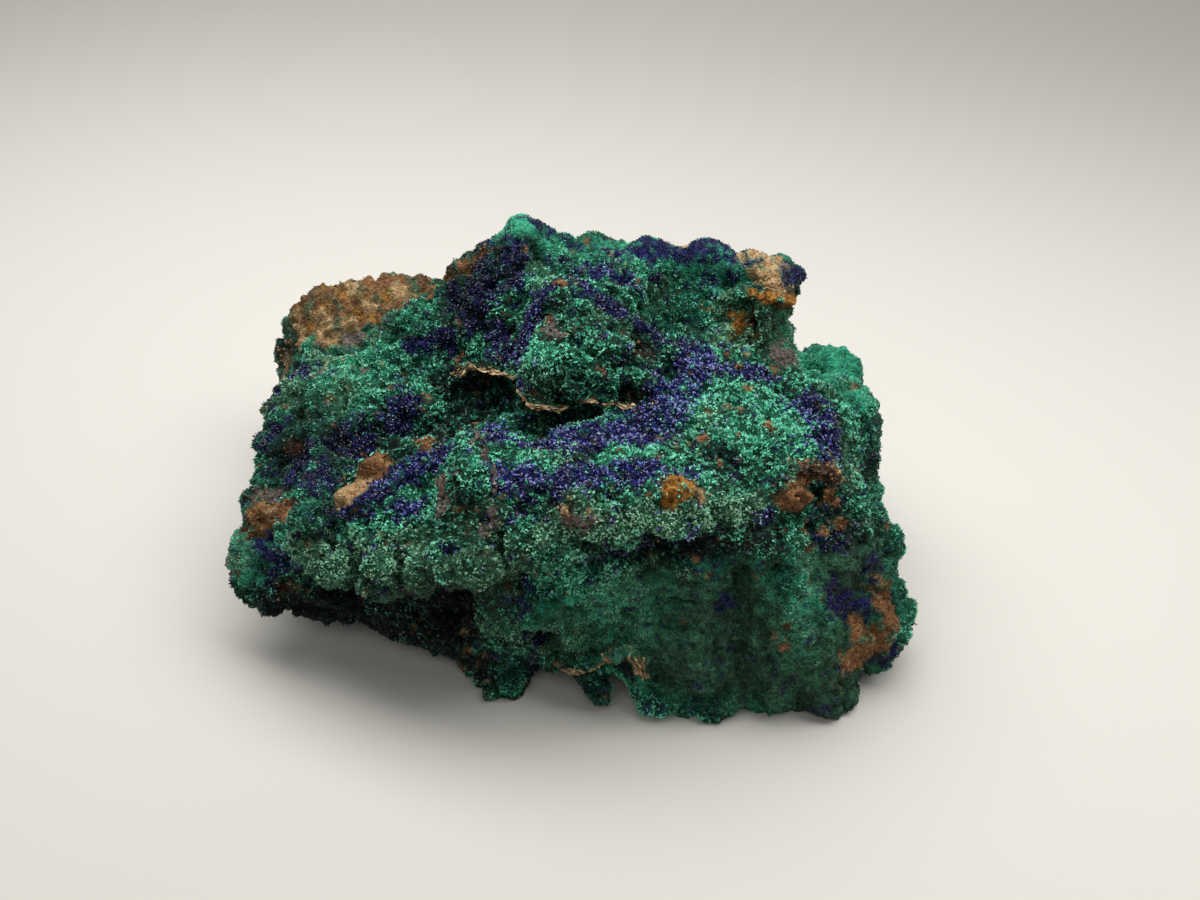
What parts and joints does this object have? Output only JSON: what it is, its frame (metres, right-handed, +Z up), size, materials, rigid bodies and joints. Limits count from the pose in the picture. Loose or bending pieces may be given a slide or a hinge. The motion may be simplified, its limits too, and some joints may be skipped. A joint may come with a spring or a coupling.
{
  "type": "azurite specimen",
  "caption": "Loose azurite and malachite mineral specimen on iron-stained rock, with a peaked back ridge, an overhanging shelf and a deep recess in front.",
  "frame": {"origin": "centre of the specimen's bounding box, on the surface that it stands on", "axes": "+X to the right along the specimen's length, +Y from the shelf at the front to the ridge at the back, +Z up"},
  "size_m": [0.1768, 0.1272, 0.0901],
  "materials": {
    "mineral": "drusy green malachite and dark blue azurite over rusty brown rock",
    "azurite": "fine glassy blue-violet crystals",
    "malachite": "fine sparkling teal-green crystals",
    "limonite": "dull rust and ochre grains"
  },
  "bodies": {
    "root": {"specimen": "mineral"}
  },
  "joints": []
}
